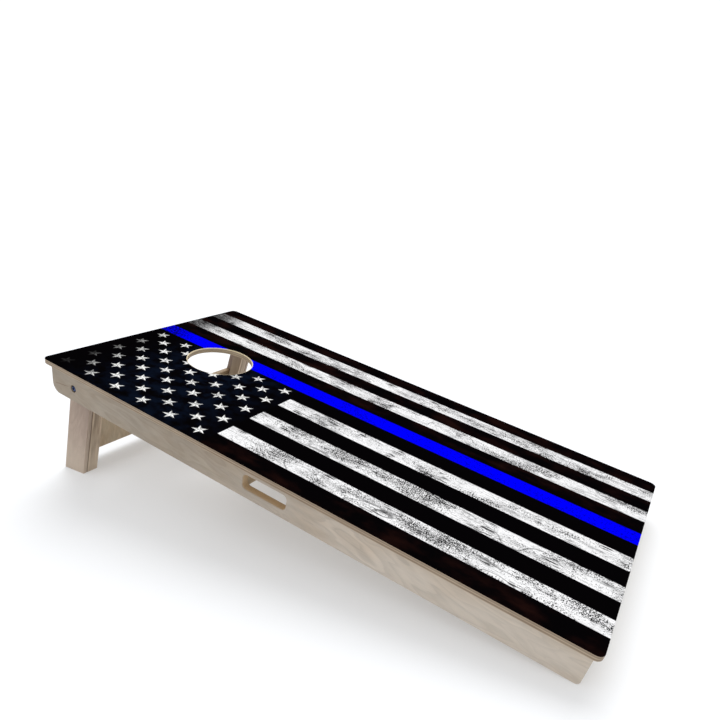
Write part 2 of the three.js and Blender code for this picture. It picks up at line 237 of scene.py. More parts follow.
def slab_mesh(outline, holes, profile, hole_profile=None):
    bm = bmesh.new()
    ends = [swept(bm, wound(outline, True), profile)]
    ends += [swept(bm, wound(hole, False), hole_profile or profile) for hole in holes]
    capped(bm, [first for first, last in ends])
    capped(bm, [last for first, last in ends])
    return bm


def lathe(bm, profile, segments=48):
    """Revolves (radius, height) pairs about z. They start and end on the axis, or close on themselves."""
    closed = profile[0] == profile[-1] and profile[0][0] > 0
    stations = profile[:-1] if closed else profile
    rings = []
    for radius, height in stations:
        if radius == 0:
            rings.append([bm.verts.new((0, 0, height))])
            continue
        turns = (2 * math.pi * k / segments for k in range(segments))
        rings.append([bm.verts.new((radius * math.cos(a), radius * math.sin(a), height)) for a in turns])
    pairs = list(zip(rings, rings[1:])) + ([(rings[-1], rings[0])] if closed else [])
    for a, b in pairs:
        for i in range(segments):
            corners = [a[(i - 1) % len(a)], a[i % len(a)], b[i % len(b)], b[(i - 1) % len(b)]]
            bm.faces.new(list(dict.fromkeys(corners)))


def prism(bm, radius, low, high, sides):
    lathe(bm, [(0, low), (radius, low), (radius, high), (0, high)], sides)


def make_object(name, bm, place):
    """An object whose mesh is already where place puts it, so that it lies in the frame's own axes."""
    bmesh.ops.recalc_face_normals(bm, faces=bm.faces)
    mesh = bpy.data.meshes.new(name)
    bm.to_mesh(mesh)
    bm.free()
    mesh.transform(place)
    made = bpy.data.objects.new(name, mesh)
    bpy.context.scene.collection.objects.link(made)
    return made


def carve(target, tools, operation="DIFFERENCE"):
    """Cuts the tools out of target, or joins or intersects them with it, and removes the tools."""
    for tool in tools:
        modifier = target.modifiers.new("cut", "BOOLEAN")
        modifier.operation = operation
        modifier.solver = "EXACT"
        modifier.object = tool
    bpy.context.view_layer.update()
    depsgraph = bpy.context.evaluated_depsgraph_get()
    mesh = bpy.data.meshes.new_from_object(target.evaluated_get(depsgraph))
    target.modifiers.clear()
    target.data = mesh
    for tool in tools:
        bpy.data.objects.remove(tool)
    return target


def finished(piece, body, material, nodes):
    """Smooth rounds between crisp flats, its material, the body it rides on and the nodes it stands for."""
    mesh = piece.data
    mesh.shade_smooth()
    mesh.set_sharp_from_angle(angle=SMOOTH_BELOW)
    normals = piece.modifiers.new("normals", "WEIGHTED_NORMAL")
    normals.keep_sharp = True
    mesh.materials.clear()
    mesh.materials.append(material)
    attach(piece, body)
    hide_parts(*nodes)
    return piece


# ---------------------------------------------------------------- shader arithmetic

def feed(socket, value):
    if isinstance(value, Value):
        value.tree.links.new(value.socket, socket)
    elif isinstance(value, bpy.types.NodeSocket):
        socket.id_data.links.new(value, socket)
    else:
        socket.default_value = value


class Value:
    """A number that varies over a surface. Arithmetic on it adds Math nodes to its material."""

    def __init__(self, socket):
        self.socket = socket
        self.tree = socket.id_data

    def math(self, operation, *others, before=False):
        made = self.tree.nodes.new("ShaderNodeMath")
        made.operation = operation
        operands = [*others, self] if before else [self, *others]
        for socket, value in zip(made.inputs, operands):
            feed(socket, value)
        return Value(made.outputs[0])

    def __add__(self, other):
        return self.math("ADD", other)

    def __radd__(self, other):
        return self.math("ADD", other)

    def __sub__(self, other):
        return self.math("SUBTRACT", other)

    def __rsub__(self, other):
        return self.math("SUBTRACT", other, before=True)

    def __mul__(self, other):
        return self.math("MULTIPLY", other)

    def __rmul__(self, other):
        return self.math("MULTIPLY", other)

    def __truediv__(self, other):
        return self.math("DIVIDE", other)

    def __mod__(self, other):
        return self.math("FLOORED_MODULO", other)

    def __abs__(self):
        return self.math("ABSOLUTE")

    def floor(self):
        return self.math("FLOOR")

    def fraction(self):
        return self.math("FRACT")

    def sine(self):
        return self.math("SINE")

    def limited(self, low, high):
        return self.math("MAXIMUM", low).math("MINIMUM", high)

    def fade(self, low, high):
        """0 at low, 1 at high, smooth between."""
        made = self.tree.nodes.new("ShaderNodeMapRange")
        made.interpolation_type = "SMOOTHSTEP"
        feed(made.inputs["Value"], self)
        made.inputs["From Min"].default_value = low
        made.inputs["From Max"].default_value = high
        return Value(made.outputs["Result"])


# Where a Mix node keeps its sockets for colours: factor, A and B, and the result
MIX_COLOUR_INPUTS = (0, 6, 7)
MIX_COLOUR_OUTPUT = 2


class Surface:
    """A procedural material being built. Its coordinates are millimetres along the axes of place."""

    def __init__(self, name, place):
        self.material = bpy.data.materials.new(name)
        self.material.use_nodes = True
        self.tree = self.material.node_tree
        self.shader = self.tree.nodes["Principled BSDF"]
        source = self.tree.nodes.new("ShaderNodeTexCoord")
        inverse = place.inverted()
        rows = [inverse[i] for i in range(3)]
        position, normal = source.outputs["Object"], source.outputs["Normal"]
        self.x, self.y, self.z = (self.along(position, r.xyz / MM) + r.w / MM for r in rows)
        self.facing = [abs(self.along(normal, r.xyz)) for r in rows]

    def along(self, vector, direction):
        made = self.tree.nodes.new("ShaderNodeVectorMath")
        made.operation = "DOT_PRODUCT"
        feed(made.inputs[0], vector)
        feed(made.inputs[1], direction)
        return Value(made.outputs["Value"])

    def point(self, x, y, z):
        made = self.tree.nodes.new("ShaderNodeCombineXYZ")
        for socket, value in zip(made.inputs, (x, y, z)):
            feed(socket, value)
        return made.outputs[0]

    def noise(self, x, y, z=0.0, detail=3.0, roughness=0.5, warp=0.0):
        made = self.tree.nodes.new("ShaderNodeTexNoise")
        feed(made.inputs["Vector"], self.point(x, y, z))
        made.inputs["Scale"].default_value = 1
        made.inputs["Detail"].default_value = detail
        made.inputs["Roughness"].default_value = roughness
        made.inputs["Distortion"].default_value = warp
        return Value(made.outputs["Fac"])

    def mix(self, share, a, b):
        """Colour a, with a share of colour b."""
        made = self.tree.nodes.new("ShaderNodeMix")
        made.data_type = "RGBA"
        for socket, value in zip(MIX_COLOUR_INPUTS, (share, a, b)):
            feed(made.inputs[socket], value)
        return made.outputs[MIX_COLOUR_OUTPUT]

    def darker(self, colour, amount):
        """colour times amount, a Value."""
        made = self.tree.nodes.new("ShaderNodeVectorMath")
        made.operation = "SCALE"
        feed(made.inputs[0], colour)
        feed(made.inputs["Scale"], amount)
        return made.outputs[0]

    def done(self, colour, roughness, height, relief):
        """Connects the shader. Relief is how far in metres the height, 0 to 1, stands out."""
        bump = self.tree.nodes.new("ShaderNodeBump")
        bump.inputs["Distance"].default_value = relief
        feed(bump.inputs["Height"], height)
        feed(self.shader.inputs["Base Color"], colour)
        feed(self.shader.inputs["Roughness"], roughness)
        feed(self.shader.inputs["Normal"], bump.outputs[0])
        return self.material


def rgb(red, green, blue):
    """A colour given as it looks on screen, 0 to 255, made linear."""
    def linear(c):
        c = c / 255
        return c / 12.92 if c <= 0.04045 else ((c + 0.055) / 1.055) ** 2.4
    return (linear(red), linear(green), linear(blue), 1.0)


# ---------------------------------------------------------------- plywood

# Pale and warm face tones, and the inner layers
INNER_LAYERS = rgb(198, 164, 118)
DECK_WOOD = (rgb(204, 186, 162), rgb(180, 159, 134), rgb(163, 140, 117))
RAIL_WOOD = (rgb(206, 194, 180), rgb(202, 186, 168), INNER_LAYERS)
CROSS_RAIL_WOOD = (rgb(198, 180, 150), rgb(190, 168, 136), INNER_LAYERS)
# The legs' and battens' face tones are darkened as painted shade for the shadow under the deck
LEG_BOARD_SHADED_WOOD = (rgb(178, 157, 141), rgb(163, 142, 127), rgb(212, 194, 174))
BATTEN_SHADED_WOOD = (rgb(164, 146, 124), rgb(152, 133, 112), rgb(216, 194, 168))
BRACE_WOOD = (rgb(200, 184, 158), rgb(192, 170, 140), INNER_LAYERS)

# Local tones mixed over them, some of them painted light and shade as noted below
# Painted highlight on the hole's rounded rim, over the bare wood that the print leaves there
RIM_HIGHLIGHT_ON_BARE_WOOD = rgb(232, 216, 176)
# Partly painted shade and light, partly the wood's own tone: darker to the rear, paler to the front
REAR_SHADE_AND_TONE = rgb(124, 110, 90)
FRONT_LIGHT_AND_TONE = rgb(226, 216, 202)
# Paler, warmer tone on the slot's walls and rounds
PALE_SLOT_WALL = rgb(226, 194, 148)
SPLIT = rgb(112, 84, 58)
# Painted light: the lower legs paler than their tops, which lie in the deck's shade
FOOT_PAINTED_LIGHT = rgb(214, 198, 178)
# Painted shade in the seam where a leg board and its batten meet
SEAM_PAINTED_SHADE = rgb(92, 70, 54)

WOOD_ROUGHNESS = 0.6


def plywood(name, place, depth, layers, seed, colours, figure=1.0, layering=1.0):
    """Rotary-cut birch plywood: x with the face grain, z through the layers, from 0 down to -depth in mm.

    colours are the face's pale and warm tones and the inner layers' tone. figure and layering scale the
    contrast of the face's pattern and of the layers on the edges. Returns what Surface.done needs.
    """
    pale, warm, inner = colours
    s = Surface(name, place)
    x, y, z = s.x + 217.0 * seed, s.y + 131.0 * seed, s.z
    bend = s.noise(x / 260, y / 60, seed, 2) * 14
    fibre = s.noise(x / 60, (y + bend) / 0.9, z / 3, 4, 0.6)
    fine = s.noise(x / 14, (y + bend) / 0.28, z / 2, 2, 0.6)
    hills = s.noise((x + y * 1.4) / 170, (y + bend * 0.6) / 46, seed + 3.0, 2, 0.45, 0.4)
    contour = (hills * 10).fraction()
    arches = contour.fade(0.30, 0.92) * contour.fade(1.0, 0.92)
    soft_arches = ((hills * 6.2831 * 6).sine() + 1) / 2
    mottle = s.noise(x / 120, y / 45, seed + 7.0, 3, 0.55)
    flame = s.noise((x + y * 1.7) / 22, (y - x * 0.12) / 70, seed + 11.0, 2, 0.5)
    fleck = s.noise(x / 7, (y + bend) / 0.55, seed, 2, 0.7).fade(0.68, 0.78)
    streak = s.noise(x / 30, (y + bend) / 2.6, seed + 5.0, 4, 0.65)

    lamina = (z * (-layers / depth)).limited(0.001, layers - 0.001)
    layer = lamina.floor()
    cross = layer % 2
    seam = abs(lamina.fraction() - 0.5).fade(0.36, 0.5)
    end_grain = cross * s.facing[1] + (1 - cross) * s.facing[0]
    end_grain = (end_grain * (1 - s.facing[2])).fade(0.25, 0.8)
    edge = (1 - s.facing[2]).fade(0.3, 0.75)
    pores = s.noise(x / 1.1, y / 1.1, z / 0.5, 3, 0.65)

    face = s.mix(mottle.fade(0.36, 0.66), pale, warm)
    line = 1 - figure * (0.10 * arches + 0.07 * soft_arches) - 0.10 * (fibre - 0.45) - 0.06 * (fine - 0.5)
    line = line - 0.22 * (flame - 0.45) * figure - 0.10 * fleck - 0.26 * (streak - 0.48)
    face = s.darker(face, line)
    core = s.mix(s.noise(layer * 3.7, x / 90, y / 90, 2).fade(0.35, 0.65), inner, warm)
    core = s.darker(core, 1.0 - 0.20 * (pores - 0.35) - 0.16 * layering * cross)
    colour = s.mix(edge * 0.72, face, core)
    colour = s.darker(colour, 1 - 0.26 * layering * end_grain)
    colour = s.darker(colour, 1 - 0.36 * layering * seam * edge)
    roughness = WOOD_ROUGHNESS + 0.14 * (fibre - 0.5) + 0.10 * end_grain
    height = 0.5 * fibre + 0.35 * fine - 0.5 * fleck - 0.4 * seam * edge + 0.6 * end_grain * pores
    return s, colour, roughness, height


def plain_plywood(name, place, **options):
    s, colour, roughness, height = plywood(name, place, **options)
    return s.done(colour, roughness, height, WOOD_RELIEF)


# ---------------------------------------------------------------- the printed face

# Lengths here are mm on the sheet: u across from the canton's side, v from the rear edge
STRIPES = 13
CANTON_STRIPES = 7
CANTON_LENGTH = 460.0
STAR_ROWS = 11
STARS_IN_ROW = 5
STAR_FIRST = (32.0, 39.0)
STAR_STEP = (67.5, 38.9)
STAR_RADIUS = 16.4
POINT_TURN = 2 * math.pi / 5
BAND_HALF_WIDTH = 22.2

BLACK_INK = rgb(4, 3, 4)
BROWN_STAIN = rgb(25, 11, 9)
NIGHT_BLUE = rgb(8, 14, 26)
BLUE_INK = (0.0, 0.0, 0.77, 1)
WHITE_INK = (0.80, 0.80, 0.81, 1)
STAR_INK = (0.95, 0.95, 0.93, 1)


def star_field(u, v):
    """Rows of five and four five-pointed stars. Returns whether a point is in a star, and its shade."""
    row = ((v - STAR_FIRST[1]) / STAR_STEP[1] + 0.5).floor().limited(0, STAR_ROWS - 1)
    odd = row % 2
    first = odd * (STAR_STEP[0] / 2) + STAR_FIRST[0]
    column = ((u - first) / STAR_STEP[0] + 0.5).floor().limited(0.0, STARS_IN_ROW - 1 - odd)
    du = u - first - column * STAR_STEP[0]
    dv = v - row * STAR_STEP[1] - STAR_FIRST[1]
    reach = (du * du + dv * dv).math("SQRT")
    turn = dv.math("ARCTAN2", du * -1) / POINT_TURN + 0.5
    fold = (turn.fraction() - 0.5) * POINT_TURN
    edge = reach * (abs(fold) - POINT_TURN).math("COSINE")
    inside = (edge * -1 + STAR_RADIUS * math.cos(POINT_TURN)).fade(-0.5, 0.5)
    lit = fold.fade(-0.05, 0.05)
    return inside, 0.50 + 0.50 * lit


def wear(s, u, v):
    """How much of the white ink is left, 0 to 1, and how much speckle and rear wear there is."""
    speck = s.noise(u / 2.1, v / 2.7, 1.0, 3, 0.6)
    coarse = s.noise(u / 6, v / 9, 2.0, 4, 0.65)
    sway = s.noise(u / 60, v / 120, 5.0, 2) * 30
    rear = v.fade(118, 22)

    heavy = s.noise(u / 50, v / 130, 3.0, 3, 0.55).fade(0.42, 0.66)
    specks = (speck + 0.15 * heavy + 0.36 * (coarse - 0.5) + 0.06 * rear).fade(0.625, 0.66)

    grain = s.noise((u + sway) / 1.5, v / 48, 6.0, 3, 0.6).fade(0.50, 0.62)
    grain = grain * (0.10 + 0.90 * s.noise(u / 40, v / 150, 7.0, 2).fade(0.44, 0.62))

    dashes = s.noise((u + sway * 0.3) / 2.4, v / 40, 16.0, 2, 0.5).fade(0.49, 0.56)
    dashes = dashes * s.noise(u / 32, v / 56, 17.0, 1).fade(0.56, 0.64)

    hills = s.noise(u / 30, v / 150, 8.0, 1, 0.4, 1.2)
    rings = abs((hills * 22).fraction() - 0.5).fade(0.30, 0.46)
    rings = rings * s.noise(u / 44, v / 130, 9.0, 1).fade(0.52, 0.62)

    scratch = abs(s.noise(u / 75, v / 210, 10.0, 1, 0.4) - 0.5).fade(0.0040, 0.0015)
    smudge = s.noise(u / 22, v / 95, 4.0, 4, 0.6).fade(0.54, 0.78)
    haze = s.noise(u / 3, v / 9, 12.0, 4, 0.7).fade(0.40, 0.74)

    ink = (1 - specks) * (1 - grain * 0.60) * (1 - dashes * 0.90) * (1 - rings * 0.66)
    ink = ink * (1 - scratch * 0.55) * (1 - smudge * 0.66) * (1 - haze * 0.34)
    ink = ink * (1 - rear * (0.66 + 1.1 * (coarse - 0.3)))
    return ink.limited(0.0, 1.0), specks, rear


def printed_face(place):
    """Stripes and a starred canton, worn to black in speckles, grain lines, smudges and scratches."""
    s = Surface("printed_face", place)
    u, v = s.y * -1 + DECK_HIGH.x / MM, s.x * -1 + REAR / MM
    width = 2 * DECK_HIGH.x / MM / STRIPES
    ink, specks, rear = wear(s, u, v)

    ragged = (s.noise(u / 1.6, v / 2.6, 13.0, 4, 0.7) - 0.5) * 2.2
    stripe = (u / width).floor()
    from_middle = abs((u / width).fraction() - 0.5) * width
    band = (from_middle + ragged).fade(BAND_HALF_WIDTH + 0.5, BAND_HALF_WIDTH - 0.5)
    canton = u.fade(CANTON_STRIPES * width + 0.3, CANTON_STRIPES * width - 0.3)
    canton = canton * v.fade(CANTON_LENGTH + 0.4, CANTON_LENGTH - 0.4)
    odd = stripe % 2
    is_blue = stripe.math("COMPARE", float(CANTON_STRIPES), 0.5)
    white_band = odd * (1 - is_blue) * band * (1 - canton)
    blue_band = is_blue * band * (1 - canton)

    star, shade = star_field(u + ragged * 0.3, v + ragged * 0.3)
    faded = (u / 420 + v / 125).fade(0.44, 1.34)
    scuff = s.noise(u / 9, v / 9, 18.0, 4, 0.65).fade(0.74, 0.40)
    star_ink = star * canton * shade * (0.02 + 0.98 * faded) * (0.30 + 0.70 * scuff) * (1 - specks * 0.6)

    stain = s.noise(u / 50, v / 90, 14.0, 4, 0.6).fade(0.42, 0.75)
    stain = stain * ((u / width).fade(1.1, 0.7) + (u / width).fade(8.0, 8.4)).limited(0.0, 1.0)
    night = s.noise(u / 26, v / 34, 15.0, 4, 0.6).fade(0.36, 0.66) * (abs(v - 270).fade(230, 60))
    ground = s.mix(stain * (1 - canton), BLACK_INK, BROWN_STAIN)
    ground = s.mix(canton * night, ground, NIGHT_BLUE)
    pitted = s.noise(u / 2.8, v / 4.0, 20.5, 3, 0.65)
    pitted = (pitted + 0.09 * rear + 0.22 * (s.noise(u / 40, v / 90, 21.5, 2) - 0.5)).fade(0.55, 0.62)
    blue_ink = 1 - pitted * (0.55 + 0.40 * rear)
    colour = s.mix(blue_band * blue_ink, ground, BLUE_INK)
    colour = s.mix(white_band * ink, colour, WHITE_INK)
    colour = s.mix(star_ink.limited(0.0, 1.0), colour, STAR_INK)
    roughness = 0.55 + 0.08 * specks * white_band
    height = 0.6 * white_band * ink + 0.4 * blue_band * blue_ink + 0.5 * star_ink
    s.shader.inputs["Specular IOR Level"].default_value = 0.0
    return s.done(colour, roughness, height, PRINT_RELIEF)


# ---------------------------------------------------------------- metals and nylon

# Light and dark tones, and roughness
BLUE_ZINC = (rgb(84, 100, 140), rgb(26, 34, 62), 0.24)
CLEAR_ZINC = (rgb(200, 202, 206), rgb(158, 162, 170), 0.30)
YELLOW_ZINC = (rgb(214, 186, 112), rgb(180, 150, 90), 0.30)
NYLON = (rgb(226, 223, 212), rgb(206, 201, 186), 0.42)


def plated(name, place, light, dark, base_roughness):
    """Plated steel: turned rings about the z axis of place, cloudy plating and small dings."""
    s = Surface(name, place)
    s.shader.inputs["Metallic"].default_value = 1.0
    reach = (s.x * s.x + s.y * s.y).math("SQRT")
    turned = s.noise(reach * 6, s.z * 2, 0.0, 3, 0.6)
    cloud = s.noise(s.x / 2.2, s.y / 2.2, s.z / 2.2, 4, 0.6)
    ding = s.noise(s.x * 1.3, s.y * 1.3, s.z * 1.3, 5, 0.7).fade(0.60, 0.72)
    colour = s.mix(cloud.fade(0.35, 0.66), light, dark)
    colour = s.darker(colour, 1 - 0.35 * ding)
    roughness = base_roughness + 0.22 * (cloud - 0.4) + 0.18 * ding
    return s.done(colour, roughness, 0.5 * turned + 0.5 * cloud - 0.6 * ding, METAL_RELIEF)


def moulded_nylon(name, place, light, dark, base_roughness):
    """Milky nylon, slightly cloudy and gritty."""
    s = Surface(name, place)
    cloud = s.noise(s.x / 4, s.y / 4, s.z / 4, 3)
    grit = s.noise(s.x * 2.2, s.y * 2.2, s.z * 2.2, 4, 0.6)
    colour = s.mix(cloud.fade(0.3, 0.7), light, dark)
    s.shader.inputs["Subsurface Weight"].default_value = 0.1
    s.shader.inputs["Subsurface Radius"].default_value = (0.002, 0.0018, 0.0012)
    return s.done(colour, base_roughness + 0.16 * (grit - 0.5), grit, NYLON_RELIEF)


# ---------------------------------------------------------------- deck

# The print is a thin shell over the deck's face and top edge, with its own thickness and a gap below it
PRINT_GAP = 0.04 * MM
PRINT_LIP = 0.15 * MM
PRINT_LEDGE = 0.2 * MM


def deck_material(place, hole_at):
    """Plywood with a paler wall round the hole, and a painted highlight over the bare wood on its rounded
    rim.
    """
    s, colour, roughness, height = plywood(
        "deck_plywood", place, DECK_THICKNESS / MM, layers=5, seed=1.0, colours=DECK_WOOD,
    )
    along = s.x - hole_at[0] / MM
    from_hole = (along * along + s.y * s.y).math("SQRT")
    wall = from_hole.fade(HOLE_RADIUS / MM + 6, HOLE_RADIUS / MM + 4)
    # The rim's bare wood is painted paler as a highlight; the wall takes a little of the same tone
    rim = wall * s.z.fade(-2.6, -1.2)
    colour = s.mix(wall * 0.12 + rim * 0.58, colour, RIM_HIGHLIGHT_ON_BARE_WOOD)
    return s.done(colour, roughness, height, WOOD_RELIEF)


def build_deck():
    low, high = DECK_LOW, DECK_HIGH
    place = standing(BOARD, (0, 0, 0), (0, 1, 0), (0, 0, 1))
    outline = rectangle((low.y, -high.x), (high.y, -low.x), DECK_CORNER)
    hole_at = (REAR - HOLE_FROM_REAR, 0)
    top, bottom = DECK_EASE
    lap = PRINT_SHELL + PRINT_GAP
    edge = [(lap + x, h - lap) for x, h in top_round(top - lap)]
    edge += [(lap, -top - PRINT_LEDGE), (0, -top - PRINT_LEDGE)]
    edge += bottom_round(DECK_THICKNESS, bottom)
    wall = eased(DECK_THICKNESS, HOLE_EASE)
    wall[0] = (wall[0][0], -lap)
    hole = circle(hole_at, HOLE_RADIUS)
    panel = make_object("deck_panel", slab_mesh(outline, [hole], edge, wall), place)
    finished(panel, "board", deck_material(place, hole_at), ["deck"])

    lip = -top - PRINT_LIP
    skin = top_round(top) + [(0, lip), (PRINT_SHELL, lip)]
    skin += [(PRINT_SHELL + x, h - PRINT_SHELL) for x, h in top_round(top - PRINT_SHELL)][::-1]
    print_hole = circle(hole_at, HOLE_RADIUS + PRINT_CLEAR_OF_HOLE)
    sheet = slab_mesh(outline, [print_hole], skin, [(0, 0), (0, -PRINT_SHELL)])
    face = make_object("deck_face", sheet, place)
    finished(face, "board", printed_face(place), ["deck_print"])


# ---------------------------------------------------------------- screws and their pockets

SCREW_HEAD = 4.2 * MM
SCREW_NECK = 2.1 * MM
SCREW_SHANK = 1.8 * MM
SCREW_POINT = 4 * MM
SCREW_DRIVE = 1.9 * MM
SCREW_DRIVE_DEPTH = 1.5 * MM


def screw_frame(node):
    """+z from head to tip along a CAD screw, origin at its tip."""
    points = [v.co.copy() for v in frame["nodes"][node].data.vertices]
    middle = sum(points, Vector()) / len(points)
    tip = max(points, key=lambda p: (p - middle).length)
    turn = (tip - middle).to_track_quat("Z", "Y").to_matrix().to_4x4()
    return Matrix.Translation(tip) @ turn


def screws_of(member):
    """The screws whose heads are in a member, by the names of the CAD nodes."""
    start = {"leg_brace": "screw_brace_"}.get(member, f"screw_{member}_")
    into_deck = f"screw_deck_{member}_"
    rail_into_deck = member.replace("side_rail_", "screw_deck_side_") + "_"
    return sorted(n for n in frame["nodes"] if n.startswith((start, into_deck, rail_into_deck)))


def screw_length(node, place):
    low, high = extent(node, place)
    return high.z - low.z


def pocket_cutters(member):
    cutters = []
    for node in screws_of(member):
        place = screw_frame(node)
        seat = -screw_length(node, place)
        bm = bmesh.new()
        prism(bm, POCKET_RADIUS, seat - POCKET_LENGTH, seat + POCKET_SEAT, BORE_STEPS)
        cutters.append(make_object("pocket_" + node, bm, place))
    return cutters


def build_screws(material):
    for node in sorted(n for n in frame["nodes"] if n.startswith("screw_")):
        place = screw_frame(node)
        top = -screw_length(node, place)
        bm = bmesh.new()
        lathe(bm, [
            (0, top), (SCREW_HEAD - 1.3 * MM, top), (SCREW_HEAD - 0.6 * MM, top + 0.25 * MM),
            (SCREW_HEAD - 0.1 * MM, top + 0.9 * MM), (SCREW_HEAD, top + 1.3 * MM),
            (SCREW_HEAD, top + 2.2 * MM), (SCREW_NECK, top + 2.2 * MM),
            (SCREW_SHANK, top + 3.4 * MM), (SCREW_SHANK, -SCREW_POINT), (0, 0),
        ], SCREW_STEPS)
        screw = make_object("fixing_" + node, bm, place)
        drive = bmesh.new()
        prism(drive, SCREW_DRIVE, top - CUT_PAST, top + SCREW_DRIVE_DEPTH, 4)
        carve(screw, [make_object("drive", drive, place)])
        body = "leg_frame" if "brace" in node else "board"
        finished(screw, body, material, [node])


# ---------------------------------------------------------------- rails

def side_rail_outline(low, high):
    """(y, z) in the board's frame, rounded at its lower corners."""
    return rounded([
        ((low.y, high.z), 0), ((low.y, low.z), RAIL_FRONT_RADIUS),
        ((high.y, low.z), RAIL_REAR_RADIUS), ((high.y, high.z), 0),
    ])


def split_line(s, start, end, width):
    """How much a thin wandering split between two (x, y) points in mm darkens a surface."""
    along = Vector(end) - Vector(start)
    length = along.length
    ax, ay = along / length
    dx, dy = s.x - start[0], s.y - start[1]
    run = (dx * ax + dy * ay) / length
    off = dx * -ay + dy * ax + (s.noise(run * 9, 0.0, 0.0, 3) - 0.5) * 3
    taper = run.fade(-0.03, 0.12) * run.fade(1.04, 0.72)
    return abs(off).fade(width, width * 0.25) * taper


def rail_material(side, place, depth, seed):
    """Plywood that darkens to the rear and pales to the front, partly painted shade and light and partly the
    wood's own tone, with paler, warmer slot walls. The left rail has a split by the pivot.
    """
    surface, colour, roughness, height = plywood(
        "side_rail_plywood_" + side, place, depth / MM, layers=11, seed=seed,
        colours=RAIL_WOOD, figure=1.2, layering=0.6,
    )
    to_rear = surface.x if side == "right" else surface.x * -1
    # Darker to the rear and paler to the front: partly painted shade and bounce light, partly the wood's own
    # tone
    rear_shade_and_tone = to_rear.fade(-260, 260) * (0.35 + 0.45 * surface.noise(surface.x / 90, surface.y / 60, 31.0, 3))
    colour = surface.mix(rear_shade_and_tone, colour, REAR_SHADE_AND_TONE)
    colour = surface.mix(to_rear.fade(-60, -480) * 0.32, colour, FRONT_LIGHT_AND_TONE)
    half_length, half_height = SLOT_LENGTH / MM / 2, SLOT_HEIGHT / MM / 2
    along = abs(to_rear - (REAR - SLOT_FROM_REAR) / MM).fade(half_length + 1.5, half_length)
    across = abs(surface.y + SLOT_DROP / MM).fade(half_height + 1.5, half_height)
    # The slot's walls and rounds made paler and warmer
    pale_slot_walls = along * across * (1 - surface.facing[2]).fade(0.3, 0.8)
    colour = surface.mix(pale_slot_walls * 0.50, colour, PALE_SLOT_WALL)
    if side == "left":
        x, y = (PIVOT_FROM_REAR - REAR) / MM, -PIVOT_DROP / MM
        split = split_line(surface, (x - 61.0, y - 7.0), (x - 10.0, y + 1.0), 1.1)
        colour = surface.mix(split * 0.8, colour, SPLIT)
        height = height - 1.6 * split
    return surface.done(colour, roughness, height, WOOD_RELIEF)


def pivot_bore(depth, place):
    """The cutter for a side rail's pivot hole, with its eased counterbore."""
    edge = 0.7 * MM
    hole = BOLT_RADIUS + RUN_GAP
    bore = bmesh.new()
    lathe(bore, [
        (0, CUT_PAST), (COUNTERBORE_RADIUS + edge + CUT_PAST, CUT_PAST), (COUNTERBORE_RADIUS, -edge),
        (COUNTERBORE_RADIUS, -COUNTERBORE_DEPTH), (hole, -COUNTERBORE_DEPTH),
        (hole, -depth - CUT_PAST), (0, -depth - CUT_PAST),
    ])
    return make_object("bore", bore, place)


def build_side_rails():
    for side, s in SIDES.items():
        node = "side_rail_" + side
        low, high = extent(node, BOARD)
        outer = high.x if s > 0 else low.x
        depth = high.x - low.x
        place = standing(BOARD, (outer, 0, 0), (0, s, 0), (s, 0, 0))
        outline = [Vector((s * p.x, p.y)) for p in side_rail_outline(low, high)]
        centre = (s * (REAR - SLOT_FROM_REAR), -SLOT_DROP)
        half = Vector((SLOT_LENGTH / 2, SLOT_HEIGHT / 2))
        slot = rectangle(Vector(centre) - half, Vector(centre) + half, SLOT_CORNER)
        rail = slab_mesh(outline, [slot], eased(depth, RAIL_EASE), eased(depth, SLOT_EASE))
        piece = make_object("rail_" + side, rail, place)
        at_pivot = place @ Matrix.Translation((s * (REAR - PIVOT_FROM_REAR), -PIVOT_DROP, 0))
        carve(piece, [pivot_bore(depth, at_pivot), *pocket_cutters(node)])
        finished(piece, "board", rail_material(side, place, depth, 4.0 + s), [node])


def build_cross_rails():
    """Each rail's pockets are in its show face, which looks to the rear (1) or to the front (-1)."""
    for i, (node, face) in enumerate({"front_rail": 1, "centre_rail": -1, "rear_rail": -1}.items()):
        low, high = extent(node, BOARD)
        depth = high.y - low.y
        face_y = high.y if face > 0 else low.y
        place = standing(BOARD, (0, face_y, 0), (-face, 0, 0), (0, face, 0))
        outline = rectangle((low.x, low.z), (high.x, high.z))
        board = slab_mesh(outline, [], eased(depth, CROSS_RAIL_EASE))
        piece = make_object(node + "_board", board, place)
        carve(piece, pocket_cutters(node))
        material = plain_plywood(
            node + "_plywood", place, depth=depth / MM, layers=11, seed=8.0 + i, colours=CROSS_RAIL_WOOD,
        )
        finished(piece, "board", material, [node])


# ---------------------------------------------------------------- legs

DECK_TILT = math.asin(BOARD.col[1].z)
FOOT_SLOPE = math.tan(LEG_RAKE + DECK_TILT)


def leg_board_outline(low, high):
    """(y, z) in the legs' frame: a head round at the front and square at the rear, and a slanted foot."""
    half = (high.y - low.y) / 2
    top = high.z
    steps = 3 * ARC_STEPS
    start = math.asin(top / half)
    arc = [start + (math.pi - start) * k / steps for k in range(steps + 1)]
    head = [Vector((half * math.cos(a), half * math.sin(a))) for a in arc]
    front = low.z + FOOT_SLOPE * 2 * half
    return [Vector((half, low.z)), Vector((half, top)), *head, Vector((-half, front))]


def batten_outline(low, high):
    front = low.z + FOOT_SLOPE * (high.y - low.y)
    corners = [(low.y, front), (high.y, low.z), (high.y, high.z), (low.y, high.z)]
    return [Vector(c) for c in corners]


